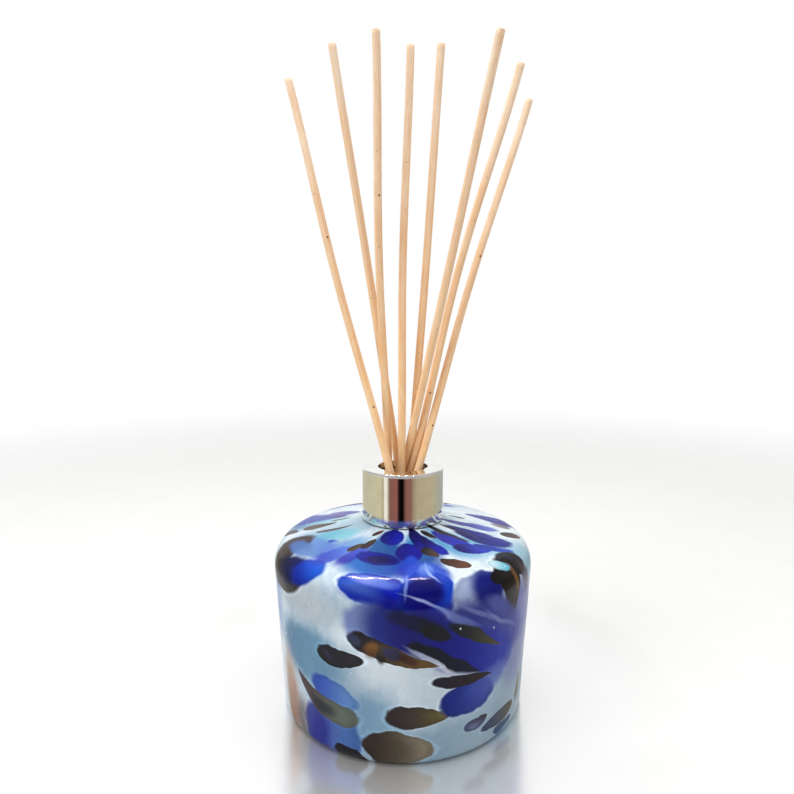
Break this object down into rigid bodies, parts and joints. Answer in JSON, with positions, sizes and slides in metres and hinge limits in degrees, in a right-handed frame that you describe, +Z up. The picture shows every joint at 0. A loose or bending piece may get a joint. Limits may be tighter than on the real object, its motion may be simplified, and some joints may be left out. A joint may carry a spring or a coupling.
{
  "type": "reed diffuser",
  "caption": "Squat blown art-glass fragrance bottle with a screwed chrome collar and loose rattan reeds fanned out of its hole.",
  "frame": {"origin": "centre of the bottle's resting face, on the table", "axes": "+Z up along the bottle's axis, -Y towards the viewer, +X to the viewer's right"},
  "size_m": [0.1008, 0.0988, 0.2458],
  "materials": {
    "art_glass": "blue, aqua and white flecked glass under a clear glossy casing",
    "foam": "soft white foam",
    "insert_plastic": "dark grey satin moulding",
    "collar_chrome": "mirror polished",
    "rattan": "natural, unvarnished"
  },
  "bodies": {
    "bottle": {"bottle": "art_glass"},
    "gasket": {"neck_gasket": "foam"},
    "collar": {"collar_insert": "insert_plastic", "collar_sleeve": "collar_chrome"},
    "reed_1": {"reed_1": "rattan"},
    "reed_2": {"reed_2": "rattan"},
    "reed_3": {"reed_3": "rattan"},
    "reed_4": {"reed_4": "rattan"},
    "reed_5": {"reed_5": "rattan"},
    "reed_6": {"reed_6": "rattan"},
    "reed_7": {"reed_7": "rattan"},
    "reed_8": {"reed_8": "rattan"}
  },
  "joints": [
    {"name": "collar_lift", "type": "slide", "parent": "bottle", "child": "gasket", "axis": [0, 0, 1], "range_m": [0, 0.00375]},
    {"name": "collar_turn", "type": "hinge", "parent": "gasket", "child": "collar", "pos_m": [0, 0, 0.08], "axis": [0, 0, 1], "range_deg": [0, 450]},
    {"name": "reed_1_pull", "type": "slide", "parent": "bottle", "child": "reed_1", "axis": [-0.252, 0.1356, 0.9582], "range_m": [0, 0.12]},
    {"name": "reed_2_pull", "type": "slide", "parent": "bottle", "child": "reed_2", "axis": [-0.1491, -0.0419, 0.9879], "range_m": [0, 0.12]},
    {"name": "reed_3_pull", "type": "slide", "parent": "bottle", "child": "reed_3", "axis": [-0.0235, -0.0506, 0.9984], "range_m": [0, 0.12]},
    {"name": "reed_4_pull", "type": "slide", "parent": "bottle", "child": "reed_4", "axis": [0.0224, 0.0588, 0.998], "range_m": [0, 0.12]},
    {"name": "reed_5_pull", "type": "slide", "parent": "bottle", "child": "reed_5", "axis": [0.0694, 0.0082, 0.9976], "range_m": [0, 0.12]},
    {"name": "reed_6_pull", "type": "slide", "parent": "bottle", "child": "reed_6", "axis": [0.1979, -0.1763, 0.9643], "range_m": [0, 0.12]},
    {"name": "reed_7_pull", "type": "slide", "parent": "bottle", "child": "reed_7", "axis": [0.2553, 0.0228, 0.9666], "range_m": [0, 0.12]},
    {"name": "reed_8_pull", "type": "slide", "parent": "bottle", "child": "reed_8", "axis": [0.2906, 0.1753, 0.9406], "range_m": [0, 0.12]}
  ],
  "couplings": [
    {"joint": "collar_lift", "follows": "collar_turn", "m_per_rad": 0.000477}
  ]
}
